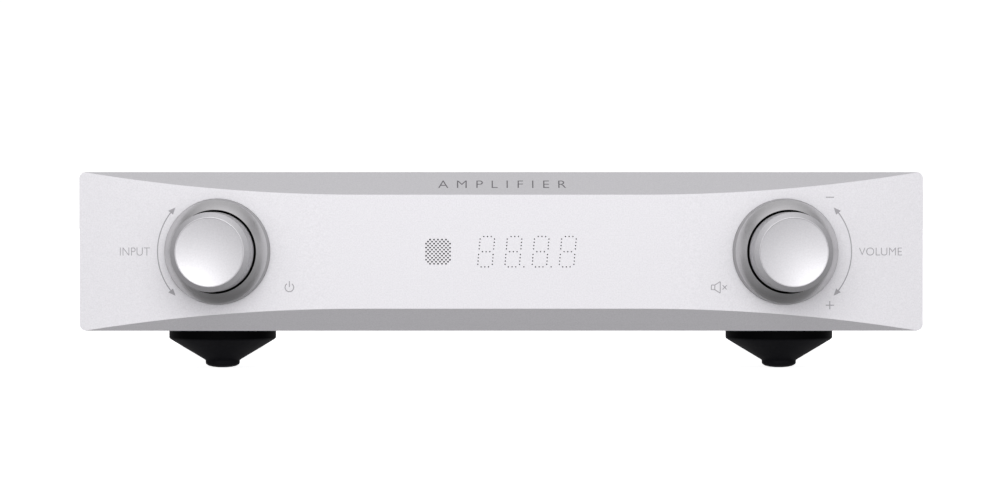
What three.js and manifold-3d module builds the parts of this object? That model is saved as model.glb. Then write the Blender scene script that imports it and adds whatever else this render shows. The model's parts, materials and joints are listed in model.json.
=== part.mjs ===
// Integrated amplifier of half width: a convex machined front panel with two push-and-turn knobs in
// turned bezels, a folded cover on a folded tray, four cone feet, and the parts inside and behind.
// Units are millimetres. +Z is up, the front faces -Y, and the origin is on the ground, under the
// middle of the whole amplifier.

import * as THREE from 'three';
import { mergeVertices } from 'three/addons/utils/BufferGeometryUtils.js';
import Module from 'manifold-3d';

const wasm = await Module();
wasm.setup();

// ---------------------------------------------------------------- driving dimensions

const GAP = 0.3; // clearance between neighbouring pieces
const FIT = 0.15; // clearance of a turned fit

const PANEL = {
  width: 235,
  height: 44.2,
  bottom: 11.3,
  front: -125.4, // the flat middle of the front face
  back: -109.4,
  flat: 39, // half width of the flat middle
  bow: 477, // radius of the curved sides of the front face
  chamfer: 6.3, // height and depth of the bevels along the top and the bottom
  corner: 1.8,
};
const AXIS_Z = PANEL.bottom + PANEL.height / 2;

const CASE = { halfWidth: 115.5, bottom: 11.9, top: 54.9, front: -109.1, rear: 118.5, sheet: 1.5 };
const FLOOR = CASE.bottom + CASE.sheet; // upper face of the tray
const CEILING = CASE.top - CASE.sheet; // lower face of the cover
const INNER = CASE.halfWidth - CASE.sheet - GAP; // half width between the cover's sides
const BOARD = { bottom: 19.9, top: 21.5 }; // circuit boards on the tray's bosses

const CONTROL = { x: 78.8 }; // distance of each knob's axis from the middle
CONTROL.tilt = Math.asin((CONTROL.x - PANEL.flat) / PANEL.bow); // the axis stands square on the bowed face
CONTROL.faceY = PANEL.front + PANEL.bow * (1 - Math.cos(CONTROL.tilt));

const BEZEL = { foot: 14.9, bore: 11.5, height: 6.3, sunk: 0.3, floor: 1.3 };
const KNOB = { radius: 10.85, face: 9.57, front: 16, back: 2.4, dish: 0.7, cavity: 8.2 };
const SHAFT = { radius: 3, back: -9.5, front: 11.6 };
const BUSH = { radius: 4.4, front: 3.7 };
const ENCODER = { side: 13.4, front: -5, back: -10.6 };
const WELL = { side: 27, front: -119.7 }; // square wells in the panel's back, behind the knobs

const DISPLAY = { width: 60, height: 20, web: 1.2 };

const FOOT = {
  front: { x: 79.5, y: -87.4 },
  rear: { x: 91, y: 90 },
  flange: 15.3,
  flangeHeight: 3.4,
  tip: 4.85,
  tipHeight: 1.4,
};

const REAR = { inside: CASE.rear - CASE.sheet, outside: CASE.rear, upper: 41.5, lower: 24.5 };
const POSTS = { x: [101, 82, 63, 44], z: AXIS_Z, end: 140.4, cap: 6.5, thread: 2.6, bore: 2.05 };
const PHONO = { outer: 4.15, hole: 5.4, bore: 1.65, end: 128, x: { line1: -22, line2: -38, single: -6 } };
const OPTICAL = { x: 11, side: 13.4, port: 9.4, depth: 10.4, shutter: 0.8 };
const USB = { x: 27, width: 12, height: 11, portWidth: 8.6, portHeight: 7.8, depth: 9 };
const INLET = {
  x: -90,
  width: 27,
  height: 32,
  flange: 2.5,
  portZ: 39.4,
  portWidth: 24.4,
  portHeight: 16.6,
};
const FUSE = { z: 22.6, width: 20, height: 7.6, depth: 17 };
const ROCKER = {
  x: -60,
  width: 13.6,
  height: 21,
  pivotY: 114.5,
  halfHeight: 7.6,
  halfAngle: 9,
  depth: 4.5,
};

const SEGMENTS = { knob: 36, small: 16, foot: 24 };

// ---------------------------------------------------------------- materials

function finish(color, roughness, metalness) {
  return new THREE.MeshStandardMaterial({ color, roughness, metalness });
}

const materials = {
  anodised: () => finish(0xe2e1e4, 0.45, 0.9),
  turned: () => finish(0x9b999d, 0.35, 0.95),
  polished: () => finish(0xc9c8cc, 0.25, 0.95),
  steel: () => finish(0xb4b6b8, 0.4, 1),
  brass: () => finish(0xcda75c, 0.3, 1),
  board: () => finish(0x1f5b3a, 0.5, 0),
  blackPlastic: () => finish(0x1b1b1c, 0.6, 0),
  redPlastic: () => finish(0xa62420, 0.5, 0),
  clear: () => finish(0x2a2b2e, 0.2, 0),
  rubber: () => finish(0x17171a, 0.85, 0),
  winding: () => finish(0x8c4a22, 0.4, 0.4),
  sleeve: () => finish(0x23262c, 0.45, 0),
};

// ---------------------------------------------------------------- solids

// A closed solid from a three.js geometry, for cutting and joining.
function solid(geometry) {
  const bare = geometry.index ? geometry.toNonIndexed() : geometry.clone();
  bare.deleteAttribute('normal');
  bare.deleteAttribute('uv');
  const merged = mergeVertices(bare, 1e-4);
  const corners = merged.index.array;
  const kept = [];
  for (let i = 0; i < corners.length; i += 3) {
    const [a, b, c] = [corners[i], corners[i + 1], corners[i + 2]];
    if (a !== b && b !== c && c !== a) kept.push(a, b, c);
  }
  const vertProperties = new Float32Array(merged.attributes.position.array);
  return new wasm.Manifold(new wasm.Mesh({ numProp: 3, vertProperties, triVerts: new Uint32Array(kept) }));
}

function geometryOf(body) {
  const mesh = body.getMesh();
  const geometry = new THREE.BufferGeometry();
  geometry.setAttribute('position', new THREE.BufferAttribute(new Float32Array(mesh.vertProperties), 3));
  geometry.setIndex([...mesh.triVerts]);
  geometry.computeVertexNormals();
  return geometry;
}

const join = (...bodies) => bodies.reduce((whole, body) => whole.add(body));
const cut = (body, ...tools) => tools.reduce((whole, tool) => whole.subtract(tool), body);

function block([x0, x1], [y0, y1], [z0, z1]) {
  const geometry = new THREE.BoxGeometry(x1 - x0, y1 - y0, z1 - z0);
  geometry.translate((x0 + x1) / 2, (y0 + y1) / 2, (z0 + z1) / 2);
  return solid(geometry);
}

const around = (centre, size) => [centre - size / 2, centre + size / 2];

// A solid of revolution about the Y axis, from [radius, y] corners in either order.
function turnedY(profile, segments = SEGMENTS.small) {
  const points = profile.map(([r, y]) => new THREE.Vector2(r, y));
  if (THREE.ShapeUtils.isClockWise(points)) points.reverse();
  points.push(points[0].clone());
  return solid(new THREE.LatheGeometry(points, segments));
}

// The same about a line parallel to Y or to Z.
function turnedAlongY(x, z, profile, segments) {
  const geometry = geometryOf(turnedY(profile, segments));
  geometry.translate(x, 0, z);
  return solid(geometry);
}

function turnedAlongZ(x, y, profile, segments) {
  const geometry = geometryOf(turnedY(profile, segments));
  geometry.rotateX(Math.PI / 2);
  geometry.translate(x, y, 0);
  return solid(geometry);
}

const rod = (radius, y0, y1) => [[0, y0], [radius, y0], [radius, y1], [0, y1]];
const ring = (inner, outer, y0, y1) => [[inner, y0], [outer, y0], [outer, y1], [inner, y1]];

function hexagonAlongY(x, z, radius, y0, y1) {
  const geometry = new THREE.CylinderGeometry(radius, radius, y1 - y0, 6);
  geometry.translate(x, (y0 + y1) / 2, z);
  return solid(geometry);
}

// Prisms: an outline in (x, z) along Y, in (x, y) along Z, and in (y, z) along X.
function prismAlongY(shape, y0, y1, curveSegments = 4) {
  const options = { depth: y1 - y0, bevelEnabled: false, curveSegments };
  const geometry = new THREE.ExtrudeGeometry(shape, options);
  geometry.rotateX(Math.PI / 2);
  geometry.translate(0, y1, 0);
  return solid(geometry);
}

function prismAlongZ(shape, z0, z1, curveSegments = 4) {
  const options = { depth: z1 - z0, bevelEnabled: false, curveSegments };
  const geometry = new THREE.ExtrudeGeometry(shape, options);
  geometry.translate(0, 0, z0);
  return solid(geometry);
}

function prismAlongX(shape, x0, x1) {
  const geometry = new THREE.ExtrudeGeometry(shape, { depth: x1 - x0, bevelEnabled: false });
  const [alongY, alongZ, alongX] = [[0, 1, 0], [0, 0, 1], [1, 0, 0]].map((v) => new THREE.Vector3(...v));
  geometry.applyMatrix4(new THREE.Matrix4().makeBasis(alongY, alongZ, alongX));
  geometry.translate(x0, 0, 0);
  return solid(geometry);
}

function roundedRectangle([x0, x1], [y0, y1], radius) {
  const shape = new THREE.Shape();
  shape.absarc(x1 - radius, y0 + radius, radius, -Math.PI / 2, 0, false);
  shape.absarc(x1 - radius, y1 - radius, radius, 0, Math.PI / 2, false);
  shape.absarc(x0 + radius, y1 - radius, radius, Math.PI / 2, Math.PI, false);
  shape.absarc(x0 + radius, y0 + radius, radius, Math.PI, 1.5 * Math.PI, false);
  return shape;
}

function polygon(corners) {
  return new THREE.Shape(corners.map(([a, b]) => new THREE.Vector2(a, b)));
}

// A row of slots in a sheet: each is long in Y and is cut through from low to high in Z.
const slots = (xs, ys, zs, width) => xs.map((x) => block(around(x, width), ys, zs));

function steps(first, last, count) {
  return Array.from({ length: count }, (_, i) => first + ((last - first) * i) / (count - 1));
}

// ---------------------------------------------------------------- the assembly

const amplifier = new THREE.Group();

function place(name, body, material, parent = amplifier) {
  const mesh = new THREE.Mesh(geometryOf(body), material);
  mesh.name = name;
  parent.add(mesh);
}

// ---------------------------------------------------------------- front panel and display

// The bowed plan of the panel: flat in the middle and curved back to each side.
function panelPlan() {
  const half = PANEL.width / 2;
  const centreY = PANEL.front + PANEL.bow;
  const sweep = Math.asin((half - PANEL.flat) / PANEL.bow);
  const shape = new THREE.Shape();
  shape.moveTo(half, PANEL.back);
  shape.lineTo(-half, PANEL.back);
  shape.absarc(-PANEL.flat, centreY, PANEL.bow, -Math.PI / 2 - sweep, -Math.PI / 2, false);
  shape.absarc(PANEL.flat, centreY, PANEL.bow, -Math.PI / 2, -Math.PI / 2 + sweep, false);
  return shape;
}

// The side view of the panel, with its two bevels.
function panelSection() {
  const top = PANEL.bottom + PANEL.height;
  const { front, back, bottom, chamfer } = PANEL;
  return polygon([
    [front, bottom + chamfer],
    [front + chamfer, bottom],
    [back, bottom],
    [back, top],
    [front + chamfer, top],
    [front, top - chamfer],
  ]);
}

// A tool that cuts the seat of a bezel and the hole of its bush, square to the bowed face.
function controlTool(side) {
  const tool = join(
    turnedY(rod(BEZEL.foot + FIT / 2, -BEZEL.floor, 2 * BEZEL.sunk), SEGMENTS.knob),
    turnedY(rod(BUSH.radius + FIT, 0, -ENCODER.front), SEGMENTS.small),
  );
  const geometry = geometryOf(tool);
  geometry.rotateZ(side * CONTROL.tilt);
  geometry.translate(side * CONTROL.x, CONTROL.faceY, AXIS_Z);
  return solid(geometry);
}

function frontPanel() {
  const half = PANEL.width / 2;
  const top = PANEL.bottom + PANEL.height;
  const outline = roundedRectangle([-half, half], [PANEL.bottom, top], PANEL.corner);
  const blank = prismAlongY(outline, PANEL.front - 1, PANEL.back)
    .intersect(prismAlongZ(panelPlan(), PANEL.bottom - 1, top + 1, 12))
    .intersect(prismAlongX(panelSection(), -half - 1, half + 1));
  const displayWell = block(
    around(0, DISPLAY.width),
    [PANEL.front + DISPLAY.web, PANEL.back + 1],
    around(AXIS_Z, DISPLAY.height),
  );
  const wells = [-1, 1].map((side) =>
    block(around(side * CONTROL.x, WELL.side), [WELL.front, PANEL.back + 1], around(AXIS_Z, WELL.side)),
  );
  return cut(blank, displayWell, ...wells, controlTool(-1), controlTool(1));
}

function displayDiffuser() {
  const front = PANEL.front + DISPLAY.web + GAP;
  return block(around(0, DISPLAY.width - 2), [front, front + 1.5], around(AXIS_Z, DISPLAY.height - 2));
}

// The display's board carries the digits' block and the remote receiver.
function displayBoard() {
  const front = PANEL.front + DISPLAY.web + 8;
  const face = front - 5.8;
  return join(
    block(around(0, DISPLAY.width - 2), [front, front + 1.6], around(AXIS_Z, DISPLAY.height - 2)),
    block([-9, 23], [face, front + 0.5], around(AXIS_Z, 13)),
    block([-22.5, -13], [face, front + 0.5], around(AXIS_Z, 9)),
    block([-8, 8], [front + 1, front + 5], around(AXIS_Z, 6)),
  );
}

place('front_panel', frontPanel(), materials.anodised());
place('display_diffuser', displayDiffuser(), materials.clear());
place('display_board', displayBoard(), materials.board());

// ---------------------------------------------------------------- the two controls

// In a control's own frame the axis is Y, the panel's face is y = 0 and the user is at -y.
const outward = (profile) => profile.map(([r, u]) => [r, -u]);

function bezel() {
  const { foot, bore, height, sunk, floor } = BEZEL;
  const profile = [
    [foot, -sunk],
    [foot, 0.2],
    [foot - 0.6, 0.37 * height],
    [foot - 1.6, 0.7 * height],
    [foot - 2.7, 0.95 * height],
    [bore + 0.3, height],
    [bore, height - 0.2],
    [bore, floor],
    [BUSH.radius + 2 * FIT, floor],
    [BUSH.radius + 2 * FIT, -sunk],
  ];
  return turnedY(outward(profile), SEGMENTS.knob);
}

function knob() {
  const { radius, face, front, back, dish, cavity } = KNOB;
  const bore = SHAFT.radius + FIT;
  const hub = BUSH.front + 1.7;
  const profile = [
    [0, SHAFT.front + 0.2],
    [bore, SHAFT.front + 0.2],
    [bore, hub],
    [cavity, hub],
    [cavity, back],
    [radius, back],
    [radius, front - (radius - face)],
    [face, front],
    [face - 0.4, front - 0.15],
    [0.66 * face, front - 0.15 - 0.55 * dish],
    [0.33 * face, front - 0.15 - 0.88 * dish],
    [0, front - 0.15 - dish],
  ];
  return turnedY(outward(profile), SEGMENTS.knob);
}

function encoder() {
  const { side, front, back } = ENCODER;
  const body = block(around(0, side), [-front, -back], around(0, side));
  const bush = turnedY(outward(rod(BUSH.radius, front - 1, BUSH.front)));
  const bore = turnedY(outward(rod(SHAFT.radius + FIT, back - 1, BUSH.front + 1)));
  const recess = turnedY(outward(rod(SHAFT.radius + 1.3, back - 1, SHAFT.back)));
  return cut(join(body, bush), bore, recess);
}

function nut() {
  const hexagon = hexagonAlongY(0, 0, 6.6, -BEZEL.floor - 2.1, -BEZEL.floor - 0.1);
  return cut(hexagon, turnedY(outward(rod(BUSH.radius + FIT, 0, 5))));
}

const shaft = () => turnedY(outward(rod(SHAFT.radius, SHAFT.back, SHAFT.front)));

// The disc behind the shaft's end, which presses the push switch.
const plunger = () => turnedY(outward(rod(4, SHAFT.back - 1, SHAFT.back - 0.1)));

function control(name, side) {
  const frame = new THREE.Group();
  frame.position.set(side * CONTROL.x, CONTROL.faceY, AXIS_Z);
  frame.rotation.z = side * CONTROL.tilt;
  amplifier.add(frame);
  place(`${name}_bezel`, bezel(), materials.turned(), frame);
  place(`${name}_knob`, knob(), materials.polished(), frame);
  place(`${name}_shaft`, shaft(), materials.steel(), frame);
  place(`${name}_encoder`, encoder(), materials.steel(), frame);
  place(`${name}_nut`, nut(), materials.steel(), frame);
  place(`${name}_plunger`, plunger(), materials.brass(), frame);

  const x = side * CONTROL.x;
  const boardFront = PANEL.back - 1.5;
  const board = block(around(x, 25), [boardFront, boardFront + 1.2], around(AXIS_Z, 25));
  const button = block(around(x, 6), [boardFront - 1, boardFront - 0.1], around(AXIS_Z, 6));
  place(`${name}_board`, board, materials.board());
  place(`${name}_push_switch`, button, materials.blackPlastic());
}

control('input', -1);
control('volume', 1);

// ---------------------------------------------------------------- case

function topCover() {
  const { halfWidth, bottom, top, front, rear, sheet } = CASE;
  const outline = roundedRectangle([-halfWidth, halfWidth], [bottom - 10, top], 2);
  const outer = prismAlongY(outline, front, rear);
  const clear = halfWidth - sheet;
  const inner = block([-clear, clear], [front - 1, rear + 1], [bottom - 11, top - sheet]);
  const below = block([-halfWidth - 1, halfWidth + 1], [front - 1, rear + 1], [bottom - 12, bottom]);
  const ventSlots = [
    ...slots(steps(-96, -36, 11), [-30, 14], [top - 2 * sheet, top + 1], 2.4),
    ...slots(steps(36, 96, 11), [-30, 14], [top - 2 * sheet, top + 1], 2.4),
  ];
  return cut(outer, inner, below, ...ventSlots);
}

// Places of the bosses that carry the boards: [x, y].
const BOSSES = [
  [-106, 0], [-18, 0], [-106, 46], [-18, 46],
  [6, -90], [48, -90], [6, 12], [48, 12],
  [62, -90], [106, -90], [62, 12], [106, 12],
  [-40, 62], [108, 62],
];

function bottomTray() {
  const { bottom, front, rear, sheet } = CASE;
  const floorSheet = block([-INNER, INNER], [front, rear], [bottom, FLOOR]);
  const upstand = block([-INNER, INNER], [front, front + sheet], [bottom, CEILING - 0.5]);
  const walls = [-1, 1].map((side) => {
    const x = side * (INNER - sheet / 2);
    return block(around(x, sheet), [front, REAR.inside - GAP], [bottom, FLOOR + 11]);
  });
  const bosses = BOSSES.map(([x, y]) => turnedAlongZ(x, y, rod(3, FLOOR - 0.5, BOARD.bottom - 0.1), 8));
  const windows = [-1, 1].map((side) =>
    block(around(side * CONTROL.x, 20), [front - 1, front + 3], around(AXIS_Z, 20)),
  );
  const displayWindow = block(around(0, 50), [front - 1, front + 3], around(AXIS_Z, 16));
  const vents = slots(steps(20, 94, 9), [-70, -20], [bottom - 1, FLOOR + 1], 2.4);
  return cut(join(floorSheet, upstand, ...walls, ...bosses), ...windows, displayWindow, ...vents);
}

function rearPanel() {
  const plate = block([-INNER, INNER], [REAR.inside, REAR.outside], [FLOOR + 0.1, CEILING - GAP]);
  const through = [REAR.inside - 1, REAR.outside + 1];
  const hole = (x, z, radius) => turnedAlongY(x, z, rod(radius, ...through));
  const window = (x, z, width, height) => block(around(x, width), through, around(z, height));
  const upper = REAR.upper;
  const lower = REAR.lower;
  return cut(
    plate,
    ...POSTS.x.map((x) => hole(x, POSTS.z, 4.5)),
    ...Object.values(PHONO.x).flatMap((x) => [upper, lower].map((z) => hole(x, z, PHONO.hole))),
    ...[upper, lower].map((z) => window(OPTICAL.x, z, 11.4, 11.4)),
    window(USB.x, upper, USB.width + 2 * GAP, USB.height + 2 * GAP),
    window(INLET.x, AXIS_Z, INLET.width + 2 * GAP, INLET.height + 2 * GAP),
    window(ROCKER.x, AXIS_Z, ROCKER.width + 2 * GAP, ROCKER.height - 1.4),
  );
}

function foot() {
  const { flange, flangeHeight, tip, tipHeight } = FOOT;
  const top = CASE.bottom - 0.1;
  return [
    [0, 0],
    [tip - 0.7, 0],
    [tip, 0.5],
    [tip, tipHeight],
    [flange - 0.5, top - flangeHeight],
    [flange, top - flangeHeight + 0.4],
    [flange, top - 0.3],
    [flange - 0.3, top],
    [0, top],
  ];
}

place('top_cover', topCover(), materials.anodised());
place('bottom_tray', bottomTray(), materials.anodised());
place('rear_panel', rearPanel(), materials.anodised());
for (const end of ['front', 'rear']) {
  const { x, y } = FOOT[end];
  for (const [side, sign] of [['left', -1], ['right', 1]]) {
    const profile = foot().map(([r, z]) => [r, -z]);
    const geometry = geometryOf(turnedY(profile, SEGMENTS.foot));
    geometry.rotateX(-Math.PI / 2);
    geometry.translate(sign * x, y, 0);
    place(`foot_${end}_${side}`, solid(geometry), materials.rubber());
  }
}

// ---------------------------------------------------------------- parts inside

const TRANSFORMER = { x: -64, y: -56, hole: 12, radius: 38, bottom: FLOOR + 0.6, height: 33 };
const plate = (xs, ys) => block(xs, ys, [BOARD.bottom, BOARD.top]);

function mainBoard() {
  const onBoard = (xs, ys, height) => block(xs, ys, [BOARD.top - 0.2, BOARD.top + height]);
  return join(
    plate([-46, 111], [56, 103.4]),
    onBoard([-24, -8], [66, 82], 2.2),
    onBoard([14, 34], [64, 84], 2.6),
    onBoard([56, 104], [62, 72], 9),
  );
}

function powerBoard() {
  return join(
    plate([-111, -13], [-6, 52]),
    block([-106, -96], [4, 26], [BOARD.top - 0.2, BOARD.top + 14]),
    block([-34, -16], [30, 46], [BOARD.top - 0.2, BOARD.top + 12]),
  );
}

function transformer() {
  const { x, y, hole, radius, bottom, height } = TRANSFORMER;
  const top = bottom + height;
  const profile = [
    [hole, bottom + 5],
    [hole + 5, bottom],
    [radius - 7, bottom],
    [radius, bottom + 8],
    [radius, top - 8],
    [radius - 7, top],
    [hole + 5, top],
    [hole, top - 5],
  ];
  return turnedAlongZ(x, y, profile, SEGMENTS.foot);
}

function transformerClamp() {
  const { x, y, bottom, height } = TRANSFORMER;
  const top = bottom + height;
  return join(
    turnedAlongZ(x, y, rod(21, top + 0.2, top + 2.2), SEGMENTS.foot),
    turnedAlongZ(x, y, rod(3, bottom + 1, top + 5), 8),
  );
}

function amplifierModule(x) {
  return join(
    plate(around(x, 48), [-94, 16]),
    block(around(x, 36), [-60, -34], [BOARD.top - 0.2, BOARD.top + 16]),
    block(around(x - 12, 12), [-86, -70], [BOARD.top - 0.2, BOARD.top + 18]),
    block(around(x + 12, 12), [-86, -70], [BOARD.top - 0.2, BOARD.top + 18]),
  );
}

function heatSink() {
  const base = block([2, 110], [24, 28], [FLOOR + 1, CEILING - 3]);
  const fins = steps(4, 108, 14).map((x) => block(around(x, 1.6), [27.5, 46], [FLOOR + 1, CEILING - 3]));
  return join(base, ...fins);
}

place('main_board', mainBoard(), materials.board());
place('power_board', powerBoard(), materials.board());
place('mains_transformer', transformer(), materials.winding());
place('transformer_clamp', transformerClamp(), materials.steel());
for (const [side, x] of [['left', -80], ['right', -52]]) {
  const can = turnedAlongZ(x, 24, rod(12, BOARD.top + 0.1, BOARD.top + 27));
  place(`reservoir_capacitor_${side}`, can, materials.sleeve());
}
place('amplifier_module_left', amplifierModule(29), materials.board());
place('amplifier_module_right', amplifierModule(84), materials.board());
place('heat_sink', heatSink(), materials.anodised());

// ---------------------------------------------------------------- loudspeaker terminals

// A post: a flange outside the panel, a nut inside, and the threaded rod that the cap runs on.
function postBody(x) {
  const z = POSTS.z;
  return join(
    hexagonAlongY(x, z, 8.4, REAR.outside + 0.1, REAR.outside + 3),
    turnedAlongY(x, z, rod(4.2, REAR.inside - 1, REAR.outside + 1)),
    hexagonAlongY(x, z, 7, REAR.inside - 4, REAR.inside - 0.1),
    turnedAlongY(x, z, rod(POSTS.thread, REAR.inside - 12, POSTS.end - 6)),
  );
}

function postWasher(x) {
  const start = REAR.outside + 3.2;
  return turnedAlongY(x, POSTS.z, ring(POSTS.thread + GAP, POSTS.cap - 0.4, start, start + 1.4));
}

function postCap(x) {
  const start = REAR.outside + 4.8;
  const { cap, thread, bore, end } = POSTS;
  const profile = [
    [thread + GAP, start],
    [cap - 0.3, start],
    [cap, start + 1],
    [cap, end - 2],
    [cap - 1.2, end],
    [bore, end],
    [bore, end - 5],
    [thread + GAP, end - 5],
  ];
  return turnedAlongY(x, POSTS.z, profile);
}

const SPEAKERS = ['right_plus', 'right_minus', 'left_plus', 'left_minus'];
SPEAKERS.forEach((name, i) => {
  const colour = name.endsWith('plus') ? materials.redPlastic : materials.blackPlastic;
  place(`speaker_${name}_post`, postBody(POSTS.x[i]), materials.brass());
  place(`speaker_${name}_washer`, postWasher(POSTS.x[i]), materials.brass());
  place(`speaker_${name}_cap`, postCap(POSTS.x[i]), colour());
});

// ---------------------------------------------------------------- signal sockets

// One housing behind the panel with a barrel at each height in zs.
function phonoSockets(x, zs) {
  const back = REAR.inside - 13;
  const front = REAR.inside - GAP;
  const low = Math.min(...zs);
  const high = Math.max(...zs);
  const housing = block(around(x, 13), [back, front], [low - 7, high + 7]);
  const barrels = zs.flatMap((z) => [
    turnedAlongY(x, z, rod(PHONO.hole - FIT, front - 1, REAR.outside + 1)),
    turnedAlongY(x, z, rod(PHONO.outer, front - 1, PHONO.end)),
  ]);
  const bores = zs.map((z) => turnedAlongY(x, z, rod(PHONO.bore, front, PHONO.end + 1), 10));
  return cut(join(housing, ...barrels), ...bores);
}

function opticalSocket(z) {
  const { x, side, port, depth } = OPTICAL;
  const face = REAR.outside + 0.8;
  return cut(
    join(
      block(around(x, side), [REAR.inside - 13, REAR.inside - GAP], around(z, side)),
      block(around(x, 11), [REAR.inside - 1, face], around(z, 11)),
    ),
    block(around(x, port), [face - depth, face + 1], around(z, port)),
  );
}

// The shutter hangs inside the port and turns inwards about its upper edge.
const SHUTTER = { pivotY: REAR.outside, drop: OPTICAL.port / 2 - 0.8 };

function opticalShutter(z) {
  const { x, port, shutter } = OPTICAL;
  const pivotZ = z + SHUTTER.drop;
  const width = port - 2 * GAP;
  const hinge = new THREE.CylinderGeometry(shutter / 2, shutter / 2, width, 8);
  hinge.rotateZ(Math.PI / 2);
  hinge.translate(x, SHUTTER.pivotY, pivotZ);
  return join(
    block(around(x, width), around(SHUTTER.pivotY, shutter), [z - port / 2 + 0.4, pivotZ]),
    solid(hinge),
  );
}

function dataSocket() {
  const { x, width, height, portWidth, portHeight, depth } = USB;
  const z = REAR.upper;
  const face = REAR.outside + 0.6;
  const shell = block(around(x, width), [REAR.inside - 16, face], around(z, height));
  const port = block(around(x, portWidth), [face - depth, face + 1], around(z, portHeight));
  const tongue = block(around(x, 5.6), [face - depth - 1, face - 1], around(z, 3));
  return join(cut(shell, port), tongue);
}

place('line_input_1', phonoSockets(PHONO.x.line1, [REAR.lower, REAR.upper]), materials.blackPlastic());
place('line_input_2', phonoSockets(PHONO.x.line2, [REAR.lower, REAR.upper]), materials.blackPlastic());
place('subwoofer_output', phonoSockets(PHONO.x.single, [REAR.upper]), materials.blackPlastic());
place('coaxial_input', phonoSockets(PHONO.x.single, [REAR.lower]), materials.blackPlastic());
for (const [number, z] of [[1, REAR.upper], [2, REAR.lower]]) {
  place(`optical_input_${number}`, opticalSocket(z), materials.blackPlastic());
  place(`optical_shutter_${number}`, opticalShutter(z), materials.blackPlastic());
}
place('data_socket', dataSocket(), materials.steel());

// ---------------------------------------------------------------- mains inlet, fuse drawer and rocker

function mainsInlet() {
  const { x, width, height, flange, portZ, portWidth, portHeight } = INLET;
  const face = REAR.outside + flange;
  const body = join(
    block(around(x, width), [REAR.inside - 18, REAR.outside + 1], around(AXIS_Z, height)),
    block(around(x, width + 4), [REAR.outside + 0.1, face], around(AXIS_Z, height + 4)),
  );
  const floorY = face - 16.5;
  const port = block(around(x, portWidth), [floorY, face + 1], around(portZ, portHeight));
  const drawerWell = block(
    around(x, FUSE.width + 2 * GAP),
    [face - FUSE.depth - GAP, face + 1],
    around(FUSE.z, FUSE.height + 2 * GAP),
  );
  const blade = (dx, dz, w, h) => block(around(x + dx, w), [floorY - 1, face - 3], around(portZ + dz, h));
  return join(cut(body, port, drawerWell), blade(-7, -1, 2, 4), blade(7, -1, 2, 4), blade(0, 4, 2, 4));
}

function fuseDrawer() {
  const face = REAR.outside + INLET.flange;
  const depth = [face - FUSE.depth, face + 1];
  const body = block(around(INLET.x, FUSE.width), depth, around(FUSE.z, FUSE.height));
  const grip = block(around(INLET.x, 8), [face - 1.2, face + 2], around(FUSE.z, 3));
  const fuseBed = block(around(INLET.x, 6), [face - FUSE.depth + 2, face - 4], [FUSE.z - 1, FUSE.z + 5]);
  return cut(body, grip, fuseBed);
}

function rockerHousing() {
  const { x, width, height } = ROCKER;
  const body = join(
    block(around(x, width), [REAR.inside - 16, REAR.outside + 1], around(AXIS_Z, height - 2)),
    block(around(x, width + 1.6), [REAR.outside + 0.1, REAR.outside + 1.8], around(AXIS_Z, height)),
  );
  const well = around(AXIS_Z, 2 * (ROCKER.halfHeight + 1.2));
  return cut(body, block(around(x, 10.6), [ROCKER.pivotY - 6.5, REAR.outside + 3], well));
}

// The rocker's side view: two faces that meet in a shallow valley, so that each end stands proud in turn.
function rocker() {
  const { x, pivotY, halfHeight, halfAngle, depth } = ROCKER;
  const middle = REAR.outside + 0.8 - pivotY;
  const proud = middle + halfHeight * Math.tan(THREE.MathUtils.degToRad(halfAngle));
  const corners = [
    [middle, 0],
    [proud, halfHeight],
    [-depth, halfHeight - 1],
    [-depth, 1 - halfHeight],
    [proud, -halfHeight],
  ];
  const geometry = geometryOf(prismAlongX(polygon(corners), x - 5, x + 5));
  geometry.rotateX(THREE.MathUtils.degToRad(-halfAngle));
  geometry.translate(0, pivotY, AXIS_Z);
  return solid(geometry);
}

place('mains_inlet', mainsInlet(), materials.blackPlastic());
place('fuse_drawer', fuseDrawer(), materials.blackPlastic());
place('rocker_housing', rockerHousing(), materials.blackPlastic());
place('power_rocker', rocker(), materials.blackPlastic());

export default amplifier;
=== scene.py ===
"""The looks of a half-width integrated amplifier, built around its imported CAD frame. Units are metres."""

import json
import math

import bpy
import bmesh
from mathutils import Matrix, Vector


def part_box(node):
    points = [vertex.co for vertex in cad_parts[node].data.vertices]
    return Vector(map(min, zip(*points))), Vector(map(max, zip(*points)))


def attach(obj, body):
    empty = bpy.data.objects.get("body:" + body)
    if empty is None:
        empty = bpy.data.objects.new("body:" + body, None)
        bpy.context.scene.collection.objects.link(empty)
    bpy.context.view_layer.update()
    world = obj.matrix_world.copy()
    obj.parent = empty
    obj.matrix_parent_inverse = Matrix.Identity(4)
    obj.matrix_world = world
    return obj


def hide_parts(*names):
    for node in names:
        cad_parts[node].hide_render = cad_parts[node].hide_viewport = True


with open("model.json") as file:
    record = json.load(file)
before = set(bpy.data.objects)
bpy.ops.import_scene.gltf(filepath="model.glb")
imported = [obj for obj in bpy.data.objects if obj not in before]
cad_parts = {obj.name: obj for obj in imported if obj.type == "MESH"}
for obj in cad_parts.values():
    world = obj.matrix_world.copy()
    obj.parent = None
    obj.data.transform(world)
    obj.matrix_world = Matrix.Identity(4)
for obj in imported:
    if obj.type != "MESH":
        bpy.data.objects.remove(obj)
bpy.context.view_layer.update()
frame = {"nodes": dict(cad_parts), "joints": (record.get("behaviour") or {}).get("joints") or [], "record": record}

MM = 0.001
TINY = 1e-9
JOINTS = {joint["name"]: joint for joint in frame["joints"]}
SLOT_OF = {part["node"]: part["material_slot"] for part in frame["record"]["subparts"]}
BODY_OF = {node: body for body, nodes in frame["record"]["behaviour"]["bodies"].items() for node in nodes}

# ---- driving dimensions

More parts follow.
